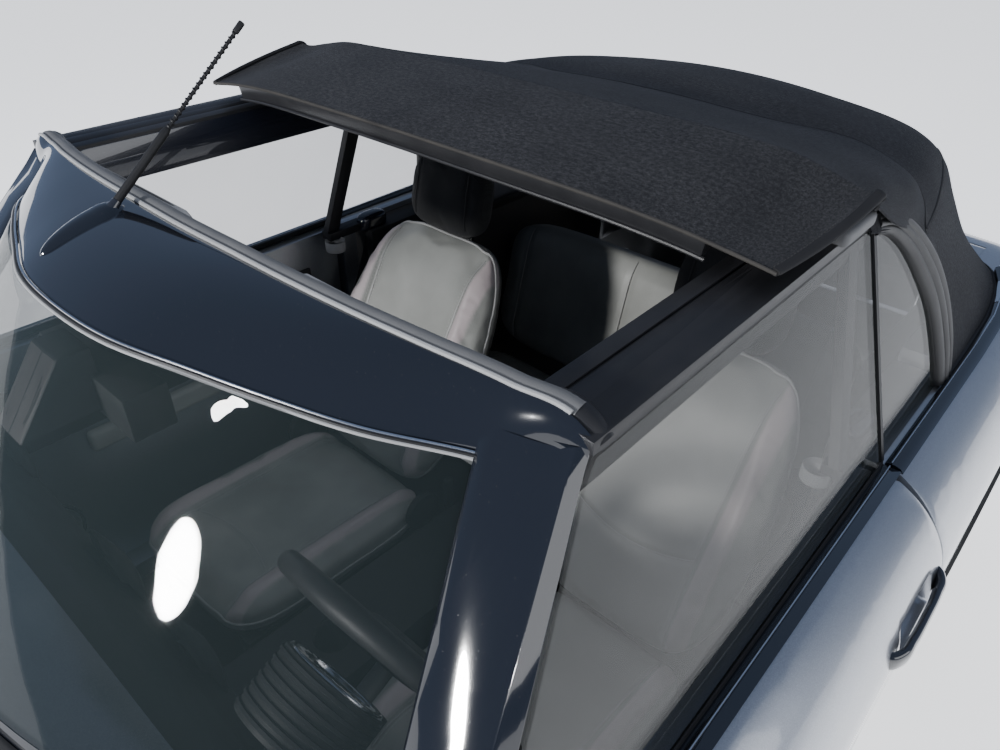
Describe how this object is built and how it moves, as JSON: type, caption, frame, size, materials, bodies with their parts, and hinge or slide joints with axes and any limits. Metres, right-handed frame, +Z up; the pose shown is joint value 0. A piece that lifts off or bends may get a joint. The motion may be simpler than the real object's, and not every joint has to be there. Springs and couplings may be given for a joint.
{
  "type": "convertible car",
  "caption": "Compact four-seat convertible car with a sliding fabric roof panel, hinged doors, bonnet and drop-down boot lid, steered front wheels and spinning wheels",
  "frame": {"origin": "on the ground, at the middle of the car's length and width", "axes": "+X forward, +Y to the car's left, +Z up"},
  "size_m": [3.831, 1.91, 1.5856],
  "materials": {
    "silver_paint": "metallic gloss",
    "gloss_black": "polished",
    "dark_plastic": "satin",
    "grey_trim": "matt",
    "clear_glass": "polished",
    "tinted_glass": "polished",
    "lamp_glass": "polished",
    "red_lamp_glass": "polished",
    "roof_fabric": "woven",
    "seal_rubber": "matt",
    "grey_leather": "grained",
    "dark_metal": "satin",
    "cast_steel": "cast",
    "cast_alloy": "cast",
    "bare_steel": "brushed",
    "wheel_alloy": "lacquered",
    "tyre_rubber": "matt"
  },
  "bodies": {
    "body": {"floor_pan": "dark_metal", "inner_wings": "dark_metal", "bulkhead": "silver_paint", "front_carrier": "dark_metal", "windscreen": "clear_glass", "windscreen_frame": "gloss_black", "front_wings": "silver_paint", "nose_panel": "silver_paint", "front_bumper": "silver_paint", "grille": "dark_plastic", "headlamps": "lamp_glass", "tail_lamps": "red_lamp_glass", "rear_quarters": "silver_paint", "rear_bumper": "silver_paint", "rear_deck": "silver_paint", "sills": "silver_paint", "wheel_arch_trims": "dark_plastic", "soft_top": "roof_fabric", "rear_window": "clear_glass", "quarter_windows": "tinted_glass", "header_seal": "seal_rubber", "sun_visors": "grey_trim", "antenna": "dark_plastic", "inside_mirror": "dark_plastic", "roof_frame": "dark_plastic", "steering_column": "dark_plastic", "front_seats": "grey_leather", "rear_seat": "grey_leather", "dashboard": "dark_plastic", "centre_console": "dark_plastic", "cabin_side_linings": "dark_plastic", "wipers": "dark_plastic", "front_subframe": "dark_metal", "rear_axle": "dark_metal", "engine_block": "cast_alloy", "exhaust": "bare_steel"},
    "bonnet": {"bonnet": "silver_paint"},
    "tailgate": {"tailgate": "silver_paint"},
    "door_left": {"door_left": "silver_paint", "door_left_glass": "tinted_glass", "door_left_trim": "gloss_black"},
    "door_right": {"door_right": "silver_paint", "door_right_glass": "tinted_glass", "door_right_trim": "gloss_black"},
    "roof_panel": {"roof_panel": "roof_fabric"},
    "steering_wheel": {"steering_wheel": "dark_plastic"},
    "knuckle_left": {"knuckle_left": "cast_steel"},
    "knuckle_right": {"knuckle_right": "cast_steel"},
    "wheel_front_left": {"tyre_front_left": "tyre_rubber", "rim_front_left": "wheel_alloy"},
    "wheel_front_right": {"tyre_front_right": "tyre_rubber", "rim_front_right": "wheel_alloy"},
    "wheel_rear_left": {"tyre_rear_left": "tyre_rubber", "rim_rear_left": "wheel_alloy"},
    "wheel_rear_right": {"tyre_rear_right": "tyre_rubber", "rim_rear_right": "wheel_alloy"}
  },
  "joints": [
    {"name": "door_left_swing", "type": "hinge", "parent": "body", "child": "door_left", "pos_m": [0.658, 0.845, 0.56], "axis": [0, 0, -1], "range_deg": [0, 66]},
    {"name": "door_right_swing", "type": "hinge", "parent": "body", "child": "door_right", "pos_m": [0.658, -0.845, 0.56], "axis": [0, 0, 1], "range_deg": [0, 66]},
    {"name": "bonnet_lift", "type": "hinge", "parent": "body", "child": "bonnet", "pos_m": [0.725, 0, 0.912], "axis": [0, -1, 0], "range_deg": [0, 55]},
    {"name": "tailgate_drop", "type": "hinge", "parent": "body", "child": "tailgate", "pos_m": [-1.912, 0, 0.588], "axis": [0, -1, 0], "range_deg": [0, 85]},
    {"name": "roof_slide", "type": "slide", "parent": "body", "child": "roof_panel", "axis": [0.9984, 0, -0.057], "range_m": [0, 0.3155]},
    {"name": "steer_left", "type": "hinge", "parent": "body", "child": "knuckle_left", "pos_m": [1.15, 0.69, 0.308], "axis": [0, 0, 1], "range_deg": [-34, 34]},
    {"name": "steer_right", "type": "hinge", "parent": "body", "child": "knuckle_right", "pos_m": [1.15, -0.69, 0.308], "axis": [0, 0, 1], "range_deg": [-34, 34]},
    {"name": "steering_wheel_turn", "type": "hinge", "parent": "body", "child": "steering_wheel", "pos_m": [0.165, 0.37, 0.905], "axis": [-0.9135, 0, 0.4067], "range_deg": [-480, 480]},
    {"name": "spin_front_left", "type": "hinge", "parent": "knuckle_left", "child": "wheel_front_left", "pos_m": [1.15, 0.75, 0.308], "axis": [0, 1, 0], "continuous": true},
    {"name": "spin_front_right", "type": "hinge", "parent": "knuckle_right", "child": "wheel_front_right", "pos_m": [1.15, -0.75, 0.308], "axis": [0, 1, 0], "continuous": true},
    {"name": "spin_rear_left", "type": "hinge", "parent": "body", "child": "wheel_rear_left", "pos_m": [-1.345, 0.75, 0.308], "axis": [0, 1, 0], "continuous": true},
    {"name": "spin_rear_right", "type": "hinge", "parent": "body", "child": "wheel_rear_right", "pos_m": [-1.345, -0.75, 0.308], "axis": [0, 1, 0], "continuous": true}
  ],
  "couplings": [
    {"joint": "steer_right", "follows": "steer_left", "ratio": 1},
    {"joint": "steering_wheel_turn", "follows": "steer_left", "ratio": 14}
  ]
}
